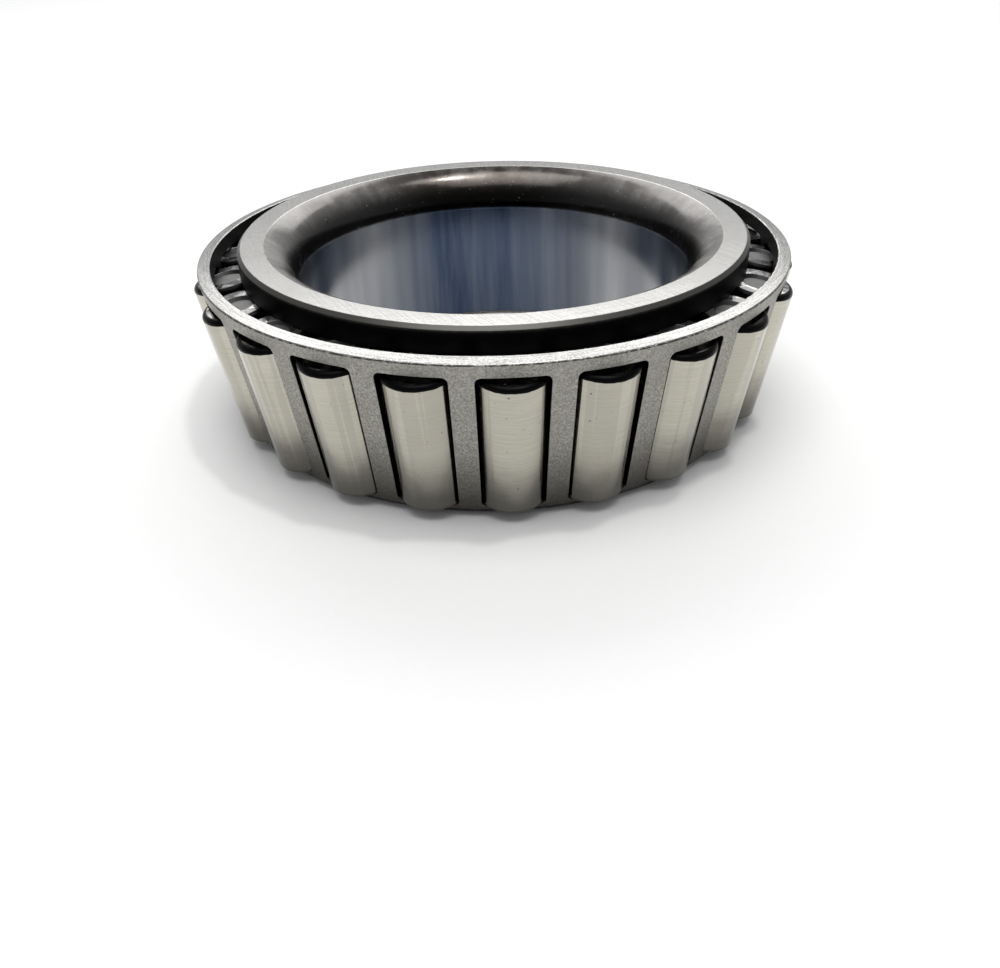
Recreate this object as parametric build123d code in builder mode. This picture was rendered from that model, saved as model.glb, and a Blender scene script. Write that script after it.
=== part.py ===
from build123d import *
import os
from math import cos, radians, sin, sqrt, tan

# Tapered roller bearing cone assembly: an inner ring, a pressed steel cage and the
# tapered rollers, without an outer ring.
# Millimetres, +Z up along the bearing axis, and the origin on that axis in the
# plane of the inner ring's small end face. The large end faces up.

# Inner ring
bore_diameter = 89.974
ring_width = 40.0
bore_corner_start = 30.7  # height where the bore wall turns into the large end corner
back_face_inner_radius = 51.65
large_rib_radius = 57.5
small_rib_radius = 50.3
rib_chamfer = 0.8
front_chamfer = 1.0
groove_radius = 0.55  # grinding relief at each end of the raceway

# Rollers: their axes and their cones all meet in one apex on the bearing axis
roller_count = 22
first_roller_angle = -90.0
roller_axis_angle = 9.3
roller_half_angle = 1.16
apex_depth = 336.5
roller_far_end = 375.2  # from the apex to the large end, along the roller's axis
roller_length = 30.2
end_relief = 2.0  # length at the large end that is ground straight, clear of the raceway
large_end_corner = 1.1
small_end_corner = 0.7
large_end_dome = 340.0  # radius of the sphere that the large end is ground to
large_dish_radius = 4.0  # mouth of the forged recess in the large end
large_dish_depth = 0.7
small_dish_radius = 3.4
small_dish_depth = 0.5
dish_slant = 0.7

# Cage: a cone of sheet steel with one window for each roller
sheet = 2.9
cage_angle = 10.5
rim_radius = 66.5
rim_height = 36.7
rim_edge_radius = 0.3
window_from_rim = 3.0
window_length = 31.1
window_top_width = 14.05
window_bottom_width = 12.75
window_top_corner = 1.3
window_bottom_corner = 0.9
flange_inner_radius = 51.6
cage_bottom = 0.3
bend_radius = 3.6  # outside of the bend between wall and flange

# Running clearances
raceway_clearance = 0.1
rib_clearance = 0.15
small_end_clearance = 0.4
pocket_clearance = 0.18

axis_tilt = radians(roller_axis_angle)
raceway_slope = tan(radians(roller_axis_angle - roller_half_angle))
roller_slope = tan(radians(roller_half_angle))
wall_tilt = radians(cage_angle)
roller_near_end = roller_far_end - roller_length
pitch_angle = 360 / roller_count


def square_to_roller(radius, distance):
    """Point at a radius on the plane square to the roller axis, that far from the apex."""
    height = (distance - radius * sin(axis_tilt)) / cos(axis_tilt)
    return (radius, height - apex_depth)


def raceway_corner(distance):
    """Point where that plane meets the inner raceway."""
    gap = raceway_clearance / cos(axis_tilt)
    reach = (distance + gap * sin(axis_tilt)) / (raceway_slope * sin(axis_tilt) + cos(axis_tilt))
    return (raceway_slope * reach - gap, reach - apex_depth)


def along_wall(distance, depth=0.0):
    """Point that far down the cage wall from its rim, and that deep under its surface."""
    return (
        rim_radius - distance * sin(wall_tilt) - depth * cos(wall_tilt),
        rim_height - distance * cos(wall_tilt) + depth * sin(wall_tilt),
    )


def wall_at(height, depth=0.0):
    """Point at a height on the cage wall's surface, or on a line that deep under it."""
    start_radius, start_height = along_wall(0, depth)
    return (start_radius - (start_height - height) * tan(wall_tilt), height)


def roller_plane(angle):
    """Plane through a roller's axis: X away from that axis, Y along it from the apex."""
    turn = radians(angle)
    outward = (cos(axis_tilt) * cos(turn), cos(axis_tilt) * sin(turn), -sin(axis_tilt))
    return Plane((0, 0, -apex_depth), x_dir=outward, z_dir=(sin(turn), -cos(turn), 0))


def make_inner_ring():
    bore_radius = bore_diameter / 2
    rib_face = roller_far_end + rib_clearance
    small_rib_face = roller_near_end - small_end_clearance
    large_corner = raceway_corner(rib_face)
    small_corner = raceway_corner(small_rib_face)
    with BuildPart() as ring:
        with BuildSketch(Plane.XZ):
            with BuildLine():
                corner = TangentArc(
                    (bore_radius, bore_corner_start),
                    (back_face_inner_radius, ring_width),
                    tangent=(0, 1),
                )
                Polyline(
                    corner @ 1,
                    (large_rib_radius, ring_width),
                    square_to_roller(large_rib_radius, rib_face),
                    large_corner,
                    small_corner,
                    square_to_roller(small_rib_radius, small_rib_face),
                    (small_rib_radius, 0),
                    (bore_radius, 0),
                    corner @ 0,
                )
            face = make_face()
            outer_corner = face.vertices().group_by(Axis.Y)[-1].sort_by(Axis.X)[-1]
            chamfer(outer_corner, rib_chamfer)
            front_corners = face.vertices().group_by(Axis.Y)[0]
            chamfer(front_corners, front_chamfer)
            with Locations(large_corner, small_corner):
                Circle(groove_radius, mode=Mode.SUBTRACT)
        revolve(axis=Axis.Z)
    return ring.part


def make_pocket_cutter():
    """The space of one cage window on +X: the punched opening and the roller's own bed."""
    window_middle = window_from_rim + window_length / 2
    middle_radius, middle_height = along_wall(window_middle)
    window_plane = Plane(
        (middle_radius, 0, middle_height),
        x_dir=(0, 1, 0),
        z_dir=(cos(wall_tilt), 0, -sin(wall_tilt)),
    )
    top = window_length / 2
    with BuildPart() as cutter:
        with BuildSketch(window_plane) as opening:
            with BuildLine():
                Polyline(
                    (-window_top_width / 2, top),
                    (window_top_width / 2, top),
                    (window_bottom_width / 2, -top),
                    (-window_bottom_width / 2, -top),
                    close=True,
                )
            make_face()
            fillet(opening.vertices().group_by(Axis.Y)[-1], window_top_corner)
            fillet(opening.vertices().group_by(Axis.Y)[0], window_bottom_corner)
        extrude(amount=sheet * 1.5, both=True)
        side = roller_plane(0)
        near, far = roller_near_end - pocket_clearance, roller_far_end + pocket_clearance
        with BuildSketch(side):
            with BuildLine():
                Polyline(
                    (0, near),
                    (near * roller_slope + pocket_clearance, near),
                    (far * roller_slope + pocket_clearance, far),
                    (0, far),
                    close=True,
                )
            make_face()
        revolve(axis=Axis(side.origin, side.y_dir))
    return cutter.part


def make_cage():
    flange_top = cage_bottom + sheet
    pocket = make_pocket_cutter()
    with BuildPart() as cage:
        with BuildSketch(Plane.XZ):
            with BuildLine():
                outside = FilletPolyline(
                    along_wall(0),
                    wall_at(cage_bottom),
                    (flange_inner_radius, cage_bottom),
                    radius=bend_radius,
                )
                inside = FilletPolyline(
                    along_wall(0, sheet),
                    wall_at(flange_top, sheet),
                    (flange_inner_radius, flange_top),
                    radius=bend_radius - sheet,
                )
                Line(outside @ 0, inside @ 0)
                Line(outside @ 1, inside @ 1)
            face = make_face()
            fillet(face.vertices().sort_by(Axis.Y)[-2:], rim_edge_radius)
        revolve(axis=Axis.Z)
        with PolarLocations(0, roller_count, start_angle=first_roller_angle):
            add(pocket, mode=Mode.SUBTRACT)
    return cage.part


def dome_height(radius):
    """Distance from the apex to the ground large end, that far off the roller's axis."""
    sphere_centre = roller_far_end - large_end_dome
    return sphere_centre + sqrt(large_end_dome**2 - radius**2)


def make_roller(angle):
    side = roller_plane(angle)
    relief_start = roller_far_end - end_relief
    large_radius = relief_start * roller_slope
    small_radius = roller_near_end * roller_slope
    ring_middle = (large_dish_radius + large_radius) / 2
    with BuildPart() as roller:
        with BuildSketch(side) as outline:
            with BuildLine():
                dome = ThreePointArc(
                    (large_dish_radius, dome_height(large_dish_radius)),
                    (ring_middle, dome_height(ring_middle)),
                    (large_radius, dome_height(large_radius)),
                )
                Polyline(
                    dome @ 1,
                    (large_radius, relief_start),
                    (small_radius, roller_near_end),
                    (small_dish_radius, roller_near_end),
                    (small_dish_radius - dish_slant, roller_near_end + small_dish_depth),
                    (0, roller_near_end + small_dish_depth),
                    (0, roller_far_end - large_dish_depth),
                    (large_dish_radius - dish_slant, roller_far_end - large_dish_depth),
                    dome @ 0,
                )
            make_face()
            small_corner, *relief_ends = outline.vertices().sort_by(Axis.X)[-3:]
            large_corner = ShapeList(relief_ends).sort_by(Axis.Y)[-1]
            fillet(large_corner, large_end_corner)
            fillet(small_corner, small_end_corner)
        revolve(axis=Axis(side.origin, side.y_dir))
    return roller.part


def finish(part, name):
    part.label = name
    export_step(part, f"parts/{name}.step")


os.makedirs("parts", exist_ok=True)
finish(make_inner_ring(), "inner_ring")
finish(make_cage(), "cage")
for number in range(roller_count):
    finish(
        make_roller(first_roller_angle + number * pitch_angle),
        f"roller_{number + 1:02d}",
    )
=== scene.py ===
from math import cos, pi, radians, sin, tan

import bpy
from mathutils import Matrix, Vector


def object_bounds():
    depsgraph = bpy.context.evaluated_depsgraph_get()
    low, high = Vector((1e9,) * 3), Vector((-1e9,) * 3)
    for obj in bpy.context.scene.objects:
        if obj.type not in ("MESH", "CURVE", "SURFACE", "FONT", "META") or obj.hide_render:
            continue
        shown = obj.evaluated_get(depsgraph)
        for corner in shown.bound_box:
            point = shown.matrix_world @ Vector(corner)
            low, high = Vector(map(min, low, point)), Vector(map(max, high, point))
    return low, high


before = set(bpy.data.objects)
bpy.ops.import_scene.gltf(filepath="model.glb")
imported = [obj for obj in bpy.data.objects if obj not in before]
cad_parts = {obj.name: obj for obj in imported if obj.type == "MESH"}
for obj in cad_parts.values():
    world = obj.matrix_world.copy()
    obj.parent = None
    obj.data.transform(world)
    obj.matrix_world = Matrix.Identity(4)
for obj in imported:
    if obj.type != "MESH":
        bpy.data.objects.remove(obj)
cad_low, cad_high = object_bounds()

MM = 0.001

# The bearing's own geometry in mm and degrees, as the CAD source has it
BORE_RADIUS = 44.987
FILLET_START = 30.7
FACE_INNER_RADIUS = 51.65
LARGE_RIB_RADIUS = 57.5
SMALL_RIB_RADIUS = 50.3
RING_WIDTH = 40.0
ROLLER_COUNT = 22
FIRST_ROLLER_ANGLE = -90.0
ROLLER_AXIS_ANGLE = 9.3
APEX_DEPTH = 336.5
ROLLER_FAR_END = 375.2
ROLLER_NEAR_END = 345.0
ROLLER_SLOPE = tan(radians(1.16))
DISH_RADIUS = 4.0
CAGE_ANGLE = 10.5
RIM_RADIUS = 66.5
RIM_HEIGHT = 36.7

# Where the small rib ends and the raceway begins, rounded down
SMALL_RIB_TOP = 4.4

# Centres of the grinding wheel's arcs across the end faces, and each set's share
WHEEL_PLACES = ((190.0, 60.0, 0.65), (-60.0, 170.0, 0.35))

# Ring: ground faces, bore, heat-treat scale in the large bore corner, ribs
GROUND_DULL = (0.54, 0.53, 0.505, 1)
GROUND_BRIGHT = (0.80, 0.79, 0.76, 1)
SMUDGE = (0.46, 0.45, 0.43, 1)
BORE_SIDE_DULL = (0.30, 0.31, 0.33, 1)
BORE_SIDE_BRIGHT = (0.58, 0.58, 0.58, 1)
# Painted reflection and shade: dark blue tones for the bore's front and back
BORE_REFLECTION_DARK = (0.04, 0.06, 0.105, 1)
BORE_REFLECTION_PALE = (0.12, 0.145, 0.19, 1)
BORE_HAIR = (0.30, 0.31, 0.34, 1)
SCALE_DARK = (0.085, 0.075, 0.068, 1)
SCALE_PALE = (0.14, 0.127, 0.118, 1)
# Painted light: paler tones of the scale for the left and right sides of the ring
SIDE_LIT_SCALE_DARK = (0.165, 0.155, 0.146, 1)
SIDE_LIT_SCALE_PALE = (0.30, 0.285, 0.27, 1)
# Painted shade: the scale turns black towards the bore
SCALE_SHADE_AT_BORE = (0.008, 0.0075, 0.007, 1)
SCALE_SPECK = (0.5, 0.49, 0.47, 1)
# Painted highlight: paler scale near the face, at the sides
SCALE_SHEEN_BY_FACE = (0.42, 0.405, 0.385, 1)
RIB_BLACK = (0.014, 0.013, 0.013, 1)
# Painted highlight along the rib's upper edge
RIB_EDGE_SHEEN = (0.11, 0.107, 0.10, 1)

# Cage: blasted sheet, sheared rim, punched window sides
BLASTED_DARK = (0.235, 0.226, 0.205, 1)
BLASTED_PALE = (0.46, 0.448, 0.408, 1)
BLASTED_DULL = (0.29, 0.28, 0.26, 1)
BLASTED_GLINT = (0.72, 0.71, 0.69, 1)
# Painted shade: the cage darkens towards its small end
CAGE_FOOT_SHADE = (0.06, 0.056, 0.05, 1)
SHEARED_DULL = (0.30, 0.293, 0.28, 1)
SHEARED_BRIGHT = (0.56, 0.553, 0.535, 1)
PUNCHED = (0.55, 0.54, 0.52, 1)
# Painted shade on the cage's inner side and window sides
INSIDE_SHADE = (0.015, 0.0145, 0.014, 1)
# Painted shade: a dark ragged line along the rim's edge
RIM_EDGE_SHADE = (0.03, 0.028, 0.026, 1)

# Rollers: ground body, ends, forged recess, black corner
LINE_DULL = (0.44, 0.422, 0.362, 1)
LINE_BRIGHT = (0.55, 0.53, 0.458, 1)
# Painted reflection: darker strips along the roller body
REFLECTION_STRIP = (0.38, 0.36, 0.31, 1)
BODY_HAZE = (0.46, 0.435, 0.375, 1)
# Painted shade: the rollers darken towards their small end
ROLLER_FOOT_SHADE = (0.10, 0.094, 0.082, 1)
NICK = (0.12, 0.11, 0.10, 1)
# Painted shade on the large end face; the brighter tone below gives its painted glints
END_SHADE = (0.16, 0.155, 0.15, 1)
END_BRIGHT = (0.62, 0.61, 0.59, 1)
FORGED = (0.20, 0.20, 0.195, 1)
# Painted shade on the wall of the end recess
DISH_WALL_SHADE = (0.04, 0.04, 0.04, 1)
FOOT_EDGE = (0.06, 0.06, 0.06, 1)
CORNER_BLACK = (0.006, 0.006, 0.0065, 1)

PAPER_DULL = (0.91, 0.91, 0.905, 1)
PAPER_BRIGHT = (0.94, 0.94, 0.93, 1)
STUDIO_AIR = (0.97, 0.98, 1.0, 1)
LAMP_COLOR = (1.0, 0.99, 0.97)
PANEL_COLOR = (1.0, 1.0, 1.0)


class Shader:
    """A material's node tree, built by short calls that take sockets or plain numbers."""

    def __init__(self, name):
        self.material = bpy.data.materials.new(name)
        self.material.use_nodes = True
        self.tree = self.material.node_tree
        self.tree.nodes.clear()
        self.surface = self.node("ShaderNodeBsdfPrincipled")
        output = self.node("ShaderNodeOutputMaterial")
        self.tree.links.new(self.surface.outputs["BSDF"], output.inputs["Surface"])
        where = self.node("ShaderNodeTexCoord").outputs["Object"]
        self.place = self.scale(where, 1 / MM)

    def node(self, kind, **settings):
        made = self.tree.nodes.new(kind)
        for key, value in settings.items():
            setattr(made, key, value)
        return made

    def put(self, socket, value):
        if isinstance(value, bpy.types.NodeSocket):
            self.tree.links.new(value, socket)
        else:
            socket.default_value = value

    def math(self, operation, *values):
        made = self.node("ShaderNodeMath", operation=operation)
        for socket, value in zip(made.inputs, values):
            self.put(socket, value)
        return made.outputs[0]

    def times(self, first, second):
        return self.math("MULTIPLY", first, second)

    def plus(self, first, second):
        return self.math("ADD", first, second)

    def minus(self, first, second):
        return self.math("SUBTRACT", first, second)

    def vector_math(self, operation, *values):
        made = self.node("ShaderNodeVectorMath", operation=operation)
        for socket, value in zip(made.inputs, values):
            self.put(socket, value)
        return made.outputs["Value" if operation in ("LENGTH", "DOT_PRODUCT") else "Vector"]

    def scale(self, vector, factor):
        made = self.node("ShaderNodeVectorMath", operation="SCALE")
        self.put(made.inputs[0], vector)
        self.put(made.inputs["Scale"], factor)
        return made.outputs["Vector"]

    def split(self, vector):
        made = self.node("ShaderNodeSeparateXYZ")
        self.put(made.inputs[0], vector)
        return made.outputs[:3]

    def join(self, *values):
        made = self.node("ShaderNodeCombineXYZ")
        for socket, value in zip(made.inputs, values):
            self.put(socket, value)
        return made.outputs[0]

    def ramp(self, value, low, high, to_low=0.0, to_high=1.0):
        """Smooth step: to_low below low, to_high above high."""
        made = self.node("ShaderNodeMapRange", interpolation_type="SMOOTHSTEP")
        for socket, number in zip(made.inputs, (value, low, high, to_low, to_high)):
            self.put(socket, number)
        return made.outputs[0]

    def fall(self, value, low, high):
        """Smooth step down: 1 below low, 0 above high."""
        return self.ramp(value, low, high, 1.0, 0.0)

    def band(self, value, low, high, soft):
        """1 between low and high, 0 outside, with soft edges."""
        rising = self.ramp(value, low - soft, low + soft)
        falling = self.fall(value, high - soft, high + soft)
        return self.times(rising, falling)

    def noise(self, vector, scale=1.0, detail=3, roughness=0.55):
        made = self.node("ShaderNodeTexNoise")
        self.put(made.inputs["Vector"], vector)
        made.inputs["Scale"].default_value = scale
        made.inputs["Detail"].default_value = detail
        made.inputs["Roughness"].default_value = roughness
        return made.outputs["Fac"]

    def wobble(self, vector, scale, detail, width):
        """Noise centred on zero, as an offset in mm that makes a mask's edge ragged."""
        return self.math("MULTIPLY_ADD", self.noise(vector, scale, detail), width, -width / 2)

    def mix(self, factor, first, second):
        """Blend of two numbers."""
        made = self.node("ShaderNodeMix", data_type="FLOAT")
        for name, value in (("Factor", factor), ("A", first), ("B", second)):
            self.put(made.inputs[name], value)
        return made.outputs[0]

    def blend(self, factor, first, second):
        """Blend of two colours."""
        made = self.node("ShaderNodeMix", data_type="RGBA")
        self.put(made.inputs["Factor"], factor)
        self.put(made.inputs[6], first)
        self.put(made.inputs[7], second)
        return made.outputs[2]

    def cover(self, color, tone, mask, share):
        """The colour with a share of the tone laid over it where the mask is 1."""
        return self.blend(self.times(mask, share), color, tone)

    def bump(self, height, distance_mm, below=None):
        made = self.node("ShaderNodeBump")
        made.inputs["Strength"].default_value = 1.0
        made.inputs["Distance"].default_value = distance_mm * MM
        self.put(made.inputs["Height"], height)
        if below:
            self.put(made.inputs["Normal"], below)
        return made.outputs[0]

    def finish(self, color, roughness, normal, metallic):
        self.put(self.surface.inputs["Base Color"], color)
        self.put(self.surface.inputs["Roughness"], roughness)
        self.put(self.surface.inputs["Normal"], normal)
        self.put(self.surface.inputs["Metallic"], metallic)
        return self.material


def round_bearing(shader):
    """Radius and height in mm, and the unit direction away from the bearing axis."""
    x, y, z = shader.split(shader.place)
    flat = shader.join(x, y, 0.0)
    radius = shader.vector_math("LENGTH", flat)
    direction = shader.vector_math("NORMALIZE", flat)
    return radius, z, direction


def along_ring(shader, direction, circle, across):
    """Texture place that runs round the ring without a seam, on a circle of that radius."""
    x, y, _ = shader.split(shader.scale(direction, circle))
    return shader.join(x, y, across)


def ring_zones(shader, radius, ragged, height, wobble):
    """Masks of the end faces, the bore, the large bore corner and the ribs."""
    on_back = shader.ramp(height, RING_WIDTH - 0.06, RING_WIDTH - 0.02)
    on_front = shader.fall(height, 0.02, 0.06)
    on_face = shader.math("MAXIMUM", on_back, on_front)
    off_face = shader.minus(1.0, on_face)

    in_bore = shader.fall(radius, BORE_RADIUS + 0.1, BORE_RADIUS + 0.5)

    above_bore = shader.ramp(shader.plus(height, wobble), FILLET_START - 0.4, FILLET_START + 0.5)
    within_face = shader.fall(radius, FACE_INNER_RADIUS + 0.02, FACE_INNER_RADIUS + 0.1)
    in_fillet = shader.times(shader.times(above_bore, within_face), off_face)

    on_large_rib = shader.ramp(ragged, LARGE_RIB_RADIUS - 1.6, LARGE_RIB_RADIUS - 0.6)
    low_down = shader.fall(height, SMALL_RIB_TOP, SMALL_RIB_TOP + 0.6)
    far_out = shader.ramp(radius, SMALL_RIB_RADIUS - 1.2, SMALL_RIB_RADIUS - 0.9)
    on_rib = shader.math("MAXIMUM", on_large_rib, shader.times(low_down, far_out))
    return on_face, in_bore, in_fillet, shader.times(on_rib, off_face)


def wheel_arcs(shader):
    """Arcs that the cup wheel leaves on the end faces, one set crossing the other."""
    arcs = 0.0
    for wheel_x, wheel_y, share in WHEEL_PLACES:
        from_wheel = shader.vector_math("SUBTRACT", shader.place, (wheel_x, wheel_y, RING_WIDTH))
        distance = shader.vector_math("LENGTH", from_wheel)
        slow_x, slow_y, _ = shader.split(shader.scale(from_wheel, 0.02))
        lines = shader.join(slow_x, slow_y, shader.times(distance, 2.4))
        arcs = shader.math("MULTIPLY_ADD", shader.noise(lines, detail=5, roughness=0.7), share, arcs)
    return arcs


def bore_wall(shader, direction, forth, height):
    """Tone and streaks of the bore: pale at the sides, with a painted dark blue reflection and shade
    towards the front and back; the streaks are grinding streaks in roughness and painted reflections
    of light stripes in colour.
    """
    draw_lines = along_ring(shader, direction, 4.5, shader.times(height, 0.006))
    # Streaks: grinding streaks in the roughness, and in the colour painted reflections of light
    # stripes
    streaks = shader.ramp(shader.noise(draw_lines, detail=2, roughness=0.5), 0.34, 0.74)
    fine_lines = along_ring(shader, direction, 22.0, shader.times(height, 0.03))
    hairs = shader.ramp(shader.noise(fine_lines, detail=3, roughness=0.6), 0.35, 0.7)
    # Painted reflection and shade: dark blue towards the front and back
    reflected_blue = shader.ramp(shader.math("ABSOLUTE", forth), 0.66, 0.98)
    side = shader.blend(streaks, BORE_SIDE_DULL, BORE_SIDE_BRIGHT)
    blue = shader.blend(streaks, BORE_REFLECTION_DARK, BORE_REFLECTION_PALE)
    tone = shader.blend(reflected_blue, side, blue)
    return shader.cover(tone, BORE_HAIR, hairs, 0.14), streaks


def fillet_scale(shader, ragged, side_light, smudge):
    """Tone of the heat-treat scale, speckled; painted light makes it paler at the sides and near the
    face there, painted shade makes it black at the bore.
    """
    front_and_back = shader.blend(smudge, SCALE_DARK, SCALE_PALE)
    side_lit = shader.blend(smudge, SIDE_LIT_SCALE_DARK, SIDE_LIT_SCALE_PALE)
    # Painted light: the scale is paler at the left and right sides
    tone = shader.blend(side_light, front_and_back, side_lit)
    # Painted shade: black towards the bore
    shade_at_bore = shader.fall(ragged, BORE_RADIUS + 0.4, BORE_RADIUS + 4.0)
    tone = shader.blend(shade_at_bore, tone, SCALE_SHADE_AT_BORE)
    specks = shader.ramp(shader.noise(shader.place, 1.9, detail=2, roughness=0.5), 0.735, 0.755)
    tone = shader.cover(tone, SCALE_SPECK, specks, 0.8)
    # Painted highlight: paler near the face, at the sides only
    by_face = shader.ramp(ragged, FACE_INNER_RADIUS - 2.05, FACE_INNER_RADIUS)
    return shader.cover(tone, SCALE_SHEEN_BY_FACE, shader.times(by_face, side_light), 0.25)


def ring_steel():
    shader = Shader("ring_steel_ground")
    place = shader.place
    radius, height, direction = round_bearing(shader)
    sideways, forth, _ = shader.split(direction)
    wobble = shader.wobble(place, 0.6, 4, width=0.5)
    ragged = shader.plus(radius, wobble)
    on_face, in_bore, in_fillet, on_rib = ring_zones(shader, radius, ragged, height, wobble)

    arcs = wheel_arcs(shader)
    scratches = shader.ramp(arcs, 0.38, 0.62)
    turning = along_ring(shader, direction, 6.0, shader.plus(shader.times(height, 3.5), radius))
    lathe = shader.noise(turning, detail=4, roughness=0.65)
    patch = shader.noise(place, 0.35, detail=6, roughness=0.65)
    cloud = shader.noise(place, 0.09, detail=5, roughness=0.6)
    smudge = shader.ramp(shader.math("MULTIPLY_ADD", patch, 0.35, cloud), 0.56, 0.86)
    # Painted light mask: 1 at the left and right sides, 0 at the front and back
    side_light = shader.ramp(shader.math("ABSOLUTE", sideways), 0.2, 0.8)

    color = shader.blend(scratches, GROUND_DULL, GROUND_BRIGHT)
    color = shader.cover(color, SMUDGE, smudge, 0.22)
    bored, streaks = bore_wall(shader, direction, forth, height)
    color = shader.blend(in_bore, color, bored)
    color = shader.blend(in_fillet, color, fillet_scale(shader, ragged, side_light, smudge))
    # Painted highlight: the rib is lighter towards its upper edge
    rib_edge_sheen = shader.ramp(shader.plus(height, wobble), RING_WIDTH - 1.5, RING_WIDTH - 0.5)
    color = shader.blend(on_rib, color, shader.blend(rib_edge_sheen, RIB_BLACK, RIB_EDGE_SHEEN))

    rough = shader.mix(scratches, 0.25, 0.18)
    rough = shader.mix(in_bore, rough, shader.mix(streaks, 0.14, 0.24))
    rough = shader.mix(in_fillet, rough, shader.mix(smudge, 0.15, 0.30))
    rough = shader.mix(on_rib, rough, 0.36)

    oxide = shader.math("MAXIMUM", in_fillet, on_rib)
    turned = shader.math("MAXIMUM", in_bore, shader.times(oxide, 0.5))
    normal = shader.bump(shader.times(arcs, on_face), 0.008)
    normal = shader.bump(shader.times(lathe, turned), 0.004, normal)
    normal = shader.bump(shader.times(patch, in_fillet), 0.03, normal)

    # Where light is painted on the sides, the scale is also less metallic, so it shows its own
    # colour as well as a reflection
    metal = shader.minus(1.0, shader.times(in_fillet, shader.times(side_light, 0.68)))
    return shader.finish(color, rough, normal, metal)


def cage_sheet(shader, radius, height):
    """Distance in mm along the sheet above its rim, and into it from its outer side."""
    tilt = radians(CAGE_ANGLE)
    inward = shader.minus(RIM_RADIUS, radius)
    over_rim = shader.minus(height, RIM_HEIGHT)
    rise = shader.minus(shader.times(over_rim, cos(tilt)), shader.times(inward, sin(tilt)))
    depth = shader.plus(shader.times(inward, cos(tilt)), shader.times(over_rim, sin(tilt)))
    return rise, depth


def cage_cuts(shader, direction, rise, depth, on_rim):
    """Masks of the punched window sides and of painted shade on the inner side and most of the
    window sides, apart from the outer sills.
    """
    tilt = radians(CAGE_ANGLE)
    below_rim = shader.fall(rise, -2.0, -1.5)
    facing = shader.node("ShaderNodeTexCoord").outputs["Normal"]

    # The punch cut the window sides across the sheet, so they don't face the wall's way
    wall_way = shader.vector_math("ADD", shader.scale(direction, cos(tilt)), (0.0, 0.0, -sin(tilt)))
    flush = shader.math("ABSOLUTE", shader.vector_math("DOT_PRODUCT", facing, wall_way))
    punched = shader.times(shader.fall(flush, 0.35, 0.6), below_rim)

    upright = shader.vector_math("ADD", shader.scale(direction, sin(tilt)), (0.0, 0.0, cos(tilt)))
    sill = shader.ramp(shader.vector_math("DOT_PRODUCT", facing, upright), 0.55, 0.8)
    outer_sill = shader.times(shader.times(sill, below_rim), shader.fall(depth, 0.5, 0.9))

    # Painted shade: the inner side, and most of the window sides, go near black
    inside_shade = shader.times(shader.ramp(depth, 0.1, 0.3), shader.minus(1.0, on_rim))
    inside_shade = shader.math("MAXIMUM", inside_shade, shader.times(punched, 0.9))
    return punched, shader.minus(inside_shade, outer_sill)


def blasted_sheet(shader, speckle, rise):
    """Tone of the blasted steel: speckled, with glints, and with painted shade towards the small
    end.
    """
    cloud = shader.noise(shader.place, 0.11, detail=4)
    glints = shader.ramp(shader.noise(shader.place, 3.4, detail=2, roughness=0.5), 0.66, 0.72)
    tone = shader.blend(speckle, BLASTED_DARK, BLASTED_PALE)
    tone = shader.cover(tone, BLASTED_DULL, shader.ramp(cloud, 0.4, 0.7), 0.3)
    tone = shader.cover(tone, BLASTED_GLINT, glints, 0.6)
    # Painted shade, darker towards the small end
    foot_shade = shader.ramp(shader.plus(rise, shader.times(cloud, 6.0)), -33.0, -13.0, 0.93, 0.0)
    return shader.blend(foot_shade, tone, CAGE_FOOT_SHADE)


def cage_steel():
    shader = Shader("cage_steel_blasted")
    place = shader.place
    radius, height, direction = round_bearing(shader)
    rise, depth = cage_sheet(shader, radius, height)
    on_rim = shader.ramp(shader.plus(rise, shader.wobble(place, 1.6, 3, width=0.24)), -0.22, -0.12)
    punched, inside_shade = cage_cuts(shader, direction, rise, depth, on_rim)

    grain = shader.noise(place, 2.6, detail=4, roughness=0.7)
    coarse = shader.noise(place, 0.9, detail=4, roughness=0.6)
    speckle = shader.ramp(grain, 0.34, 0.68)
    shear_lines = along_ring(shader, direction, 9.0, shader.times(depth, 2.0))
    shear = shader.mix(0.55, shader.noise(shear_lines, detail=4, roughness=0.7), grain)
    # Painted shade along the rim's edge, broken up by noise
    rim_edge_shade = shader.times(shader.band(rise, -0.42, -0.10, 0.08), shader.fall(depth, 0.5, 0.7))
    broken = shader.ramp(shader.noise(place, 0.8, detail=4, roughness=0.7), 0.36, 0.52)

    sheared = shader.blend(shader.ramp(shear, 0.35, 0.65), SHEARED_DULL, SHEARED_BRIGHT)
    color = shader.blend(on_rim, blasted_sheet(shader, speckle, rise), sheared)
    color = shader.blend(punched, color, PUNCHED)
    # Painted shade over the inner side and window sides
    color = shader.cover(color, INSIDE_SHADE, inside_shade, 0.98)
    color = shader.cover(color, RIM_EDGE_SHADE, shader.times(rim_edge_shade, broken), 0.95)

    rough = shader.mix(speckle, 0.56, 0.42)
    rough = shader.mix(on_rim, rough, 0.26)
    rough = shader.mix(punched, rough, 0.36)

    smooth = shader.math("MAXIMUM", on_rim, punched)
    normal = shader.bump(shader.times(grain, shader.mix(smooth, 1.0, 0.15)), 0.14)
    normal = shader.bump(shader.times(coarse, shader.mix(smooth, 1.0, 0.1)), 0.06, normal)
    normal = shader.bump(shader.times(shear, on_rim), 0.03, normal)
    return shader.finish(color, rough, normal, 1.0)


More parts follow.
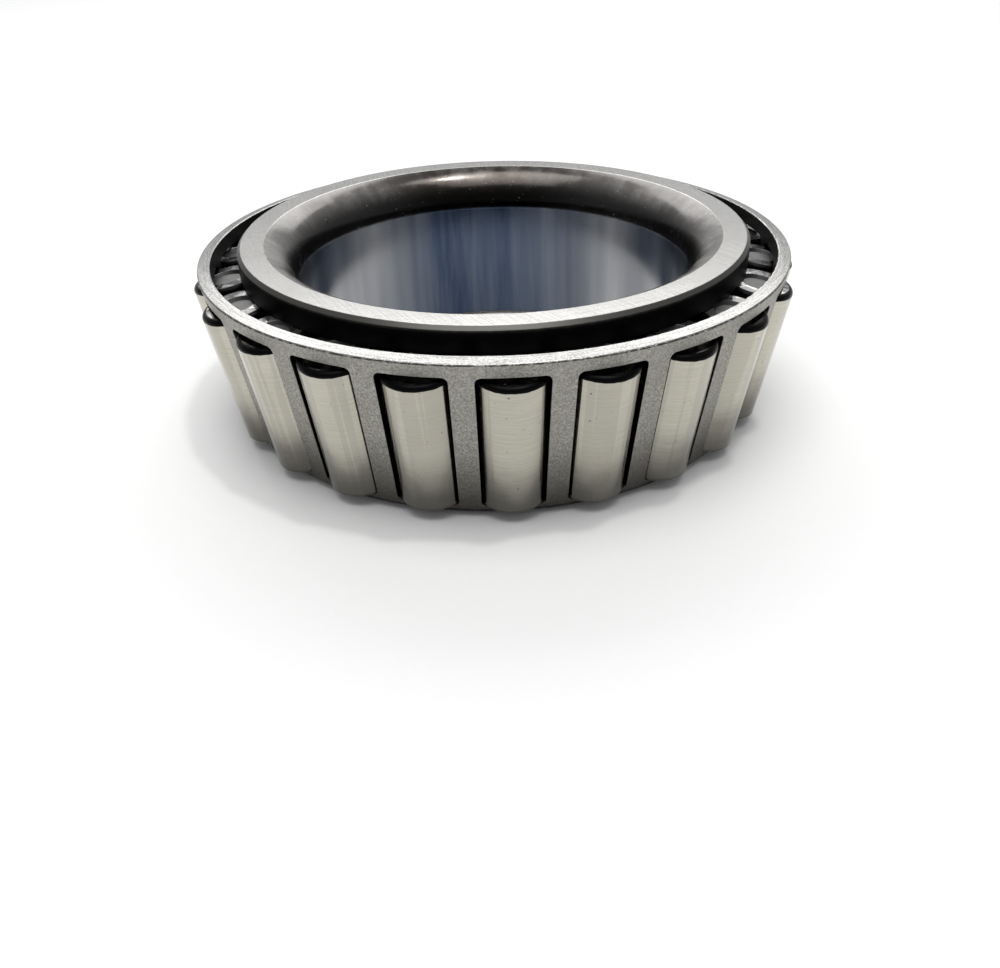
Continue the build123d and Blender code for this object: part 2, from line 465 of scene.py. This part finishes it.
def own_roller(shader):
    """Place in mm about the nearest roller's axis: off it, aside and along, and its number."""
    x, y, _ = shader.split(shader.place)
    pitch, first = 2 * pi / ROLLER_COUNT, radians(FIRST_ROLLER_ANGLE)
    turn = shader.math("ARCTAN2", y, x)
    number = shader.math("ROUND", shader.math("DIVIDE", shader.minus(turn, first), pitch))
    home = shader.math("MULTIPLY_ADD", number, pitch, first)
    turned = shader.node("ShaderNodeVectorRotate", rotation_type="Z_AXIS")
    shader.put(turned.inputs["Vector"], shader.place)
    shader.put(turned.inputs["Angle"], shader.times(home, -1.0))
    outward, aside, height = shader.split(turned.outputs[0])
    tilt = radians(ROLLER_AXIS_ANGLE)
    rise = shader.plus(height, APEX_DEPTH)
    along = shader.plus(shader.times(outward, sin(tilt)), shader.times(rise, cos(tilt)))
    off = shader.minus(shader.times(outward, cos(tilt)), shader.times(rise, sin(tilt)))
    return off, aside, along, number


def roller_corners(shader, own, radius, along):
    """Masks of the black corner at the large end and a darker one at the small end."""
    wobble = shader.wobble(own, 0.7, 3, width=0.3)
    ragged = shader.plus(along, wobble)
    large_radius, small_radius = ROLLER_FAR_END * ROLLER_SLOPE, ROLLER_NEAR_END * ROLLER_SLOPE
    near_top = shader.ramp(ragged, ROLLER_FAR_END - 1.16, ROLLER_FAR_END - 1.06)
    near_side = shader.ramp(shader.plus(radius, wobble), large_radius - 1.25, large_radius - 1.10)
    near_foot = shader.fall(ragged, ROLLER_NEAR_END + 0.35, ROLLER_NEAR_END + 0.6)
    near_foot_side = shader.ramp(radius, small_radius - 0.8, small_radius - 0.7)
    return shader.times(near_top, near_side), shader.times(near_foot, near_foot_side)


def roller_body(shader, own, along, lines, facets, nicks):
    """Tone of the ground body: lines round it, painted reflection strips along it, haze, painted
    shade towards the small end, and nicks.
    """
    cloud = shader.noise(own, 0.16, detail=4, roughness=0.6)
    tone = shader.blend(lines, LINE_DULL, LINE_BRIGHT)
    # Painted reflection strips along the body, over the facet bumps
    tone = shader.cover(tone, REFLECTION_STRIP, shader.ramp(facets, 0.495, 0.515), 0.5)
    tone = shader.cover(tone, BODY_HAZE, shader.ramp(cloud, 0.45, 0.75), 0.30)
    # Painted shade, darker towards the small end
    foot_shade = shader.math("MULTIPLY_ADD", cloud, 5.0, along)
    foot_shade = shader.ramp(foot_shade, ROLLER_NEAR_END + 3.5, ROLLER_NEAR_END + 18.0, 0.86, 0.0)
    tone = shader.blend(foot_shade, tone, ROLLER_FOOT_SHADE)
    return shader.cover(tone, NICK, nicks, 0.75)


def roller_steel():
    shader = Shader("roller_steel_ground")
    off, aside, along, number = own_roller(shader)
    spoke = shader.join(off, aside, 0.0)
    radius = shader.vector_math("LENGTH", spoke)
    ray_x, ray_y, _ = shader.split(shader.vector_math("NORMALIZE", spoke))
    shift = shader.times(number, 17.3)
    own = shader.vector_math("ADD", shader.join(off, aside, along), shader.join(shift, shift, shift))
    corner, foot = roller_corners(shader, own, radius, along)
    in_dish = shader.fall(radius, DISH_RADIUS - 0.1, DISH_RADIUS + 0.05)
    # Painted shade: a dark ring on the recess's wall
    dish_wall_shade = shader.band(radius, DISH_RADIUS - 0.75, DISH_RADIUS - 0.02, 0.06)
    on_end = shader.ramp(along, ROLLER_FAR_END - 0.6, ROLLER_FAR_END - 0.3)

    grind = shader.join(shader.times(ray_x, 0.8), shader.times(ray_y, 0.8), shader.times(along, 5.0))
    lines = shader.ramp(shader.noise(grind, detail=4, roughness=0.75), 0.3, 0.7)
    strip_place = shader.math("MULTIPLY_ADD", along, 0.004, shift)
    strips = shader.join(shader.times(ray_x, 2.6), shader.times(ray_y, 2.6), strip_place)
    facets = shader.noise(strips)
    nicks = shader.ramp(shader.noise(own, 1.1, detail=2, roughness=0.5), 0.725, 0.75)
    glints = shader.ramp(shader.noise(own, 0.35, detail=2, roughness=0.5), 0.45, 0.62)

    color = roller_body(shader, own, along, lines, facets, nicks)
    # Painted shade on the end face, with painted glints
    color = shader.blend(on_end, color, shader.blend(glints, END_SHADE, END_BRIGHT))
    color = shader.blend(in_dish, color, FORGED)
    color = shader.blend(dish_wall_shade, color, DISH_WALL_SHADE)
    color = shader.cover(color, FOOT_EDGE, foot, 0.4)
    color = shader.blend(corner, color, CORNER_BLACK)

    rough = shader.mix(lines, 0.17, 0.12)
    rough = shader.mix(in_dish, rough, 0.5)
    rough = shader.mix(corner, rough, 0.34)
    normal = shader.bump(lines, 0.003)
    normal = shader.bump(facets, 0.09, normal)
    normal = shader.bump(shader.times(nicks, -1.0), 0.02, normal)
    return shader.finish(color, rough, normal, 1.0)


def studio_paper():
    shader = Shader("studio_paper")
    fibre = shader.noise(shader.place, 0.8, detail=4)
    color = shader.blend(fibre, PAPER_DULL, PAPER_BRIGHT)
    return shader.finish(color, 0.85, shader.bump(fibre, 0.02), 0.0)


def paint(material, *names):
    for name in names:
        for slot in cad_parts[name].material_slots:
            slot.material = material


def make_floor():
    half = 3.0
    corners = [(-half, -half, 0), (half, -half, 0), (half, half, 0), (-half, half, 0)]
    mesh = bpy.data.meshes.new("floor")
    mesh.from_pydata(corners, [], [(0, 1, 2, 3)])
    floor = bpy.data.objects.new("floor", mesh)
    floor.location.z = cad_low.z
    bpy.context.scene.collection.objects.link(floor)
    mesh.materials.append(studio_paper())


def add_area_light(name, place, size, power, color=PANEL_COLOR):
    """A rectangular light aimed at the middle of the bearing, in metres and watts."""
    data = bpy.data.lights.new(name, "AREA")
    data.shape = "RECTANGLE"
    data.size, data.size_y = size
    data.energy = power
    data.color = color
    light = bpy.data.objects.new(name, data)
    light.location = place
    light.rotation_mode = "QUATERNION"
    middle = Vector((0, 0, RING_WIDTH / 2 * MM))
    light.rotation_quaternion = (middle - Vector(place)).to_track_quat("-Z", "Y")
    bpy.context.scene.collection.objects.link(light)


def studio_world():
    world = bpy.data.worlds.new("studio")
    world.use_nodes = True
    background = world.node_tree.nodes["Background"]
    background.inputs["Color"].default_value = STUDIO_AIR
    background.inputs["Strength"].default_value = 0.43
    return world


def make_lights():
    add_area_light("back_softbox", (0.0, 1.0, 0.84), (1.5, 0.62), 7.0)
    add_area_light("overhead_panel", (-0.05, -0.20, 1.10), (0.9, 0.9), 6.2)
    add_area_light("key_lamp", (0.20, -0.04, 1.08), (0.07, 0.07), 1.9, LAMP_COLOR)
    bpy.context.scene.world = studio_world()


def make_camera():
    # In mm, from the bearing's axis and above the floor
    distance, height = 229.41, 113.89
    turn, pitch, roll = radians(2.55), radians(32.0), radians(-1.56)
    sensor, focal_share = 36, 1.0236
    sideways = Vector((cos(turn), -sin(turn), 0))
    forward = Vector((sin(turn) * cos(pitch), cos(turn) * cos(pitch), -sin(pitch)))
    upward = sideways.cross(forward)
    right = cos(roll) * sideways + sin(roll) * upward
    top = cos(roll) * upward - sin(roll) * sideways
    facing = Matrix((right, top, -forward)).transposed().to_4x4()
    place = Vector((-sin(turn) * distance, -cos(turn) * distance, height)) * MM
    data = bpy.data.cameras.new("camera")
    data.sensor_width = sensor
    data.lens = focal_share * sensor
    data.clip_start, data.clip_end = 0.01, 20
    camera = bpy.data.objects.new("camera", data)
    camera.matrix_world = Matrix.Translation(place) @ facing
    bpy.context.scene.collection.objects.link(camera)
    bpy.context.scene.camera = camera


make_camera()
make_lights()
make_floor()
bpy.context.scene.view_settings.view_transform = "Standard"

paint(ring_steel(), "inner_ring")
paint(cage_steel(), "cage")
paint(roller_steel(), *[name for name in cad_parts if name.startswith("roller_")])
